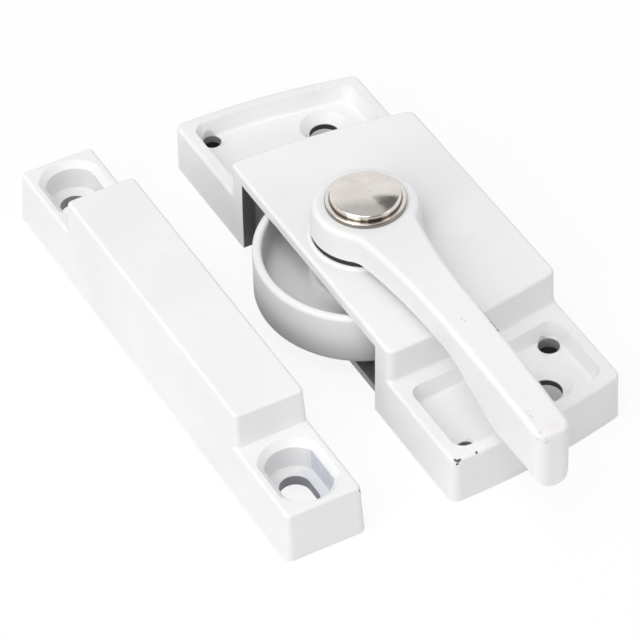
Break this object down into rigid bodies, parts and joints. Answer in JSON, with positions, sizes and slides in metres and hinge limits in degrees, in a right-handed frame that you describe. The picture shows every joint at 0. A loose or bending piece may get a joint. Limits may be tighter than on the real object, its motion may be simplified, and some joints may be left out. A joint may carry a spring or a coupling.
{
  "type": "sash lock",
  "caption": "Crescent sash lock for a sliding window: white cast housing with recessed screw trays, a lever handle that turns a hooked cam, and a slotted keeper.",
  "frame": {"origin": "where the pivot axis meets the mounting plane under the lock", "axes": "+Z along the pivot axis away from the sash, +Y along the lock, -X the front towards the keeper"},
  "size_m": [0.0513, 0.0898, 0.0202],
  "materials": {
    "white_enamel": "satin white baked enamel on zinc die castings",
    "plated_steel": "dull zinc plate",
    "spring_steel": "blued spring steel",
    "bronze": "sintered bronze",
    "dark_nylon": "moulded nylon",
    "polished_cap": "polished nickel"
  },
  "bodies": {
    "lock_base": {"housing": "white_enamel", "base_plate": "plated_steel", "plate_screws": "plated_steel", "detent_spring": "spring_steel", "detent_rivets": "plated_steel", "pivot_bush": "bronze", "thrust_washer": "bronze", "hub_washer": "dark_nylon", "keeper": "white_enamel"},
    "handle_and_cam": {"handle": "white_enamel", "cam": "white_enamel", "pivot_screw": "plated_steel", "pivot_nut": "plated_steel", "lock_washer": "plated_steel", "coil_spring": "spring_steel", "trim_washer": "polished_cap", "cap_button": "polished_cap"}
  },
  "joints": [
    {"name": "handle_turn", "type": "hinge", "parent": "lock_base", "child": "handle_and_cam", "pos_m": [0, 0, 0], "axis": [0, 0, 1], "range_deg": [0, 180]}
  ]
}
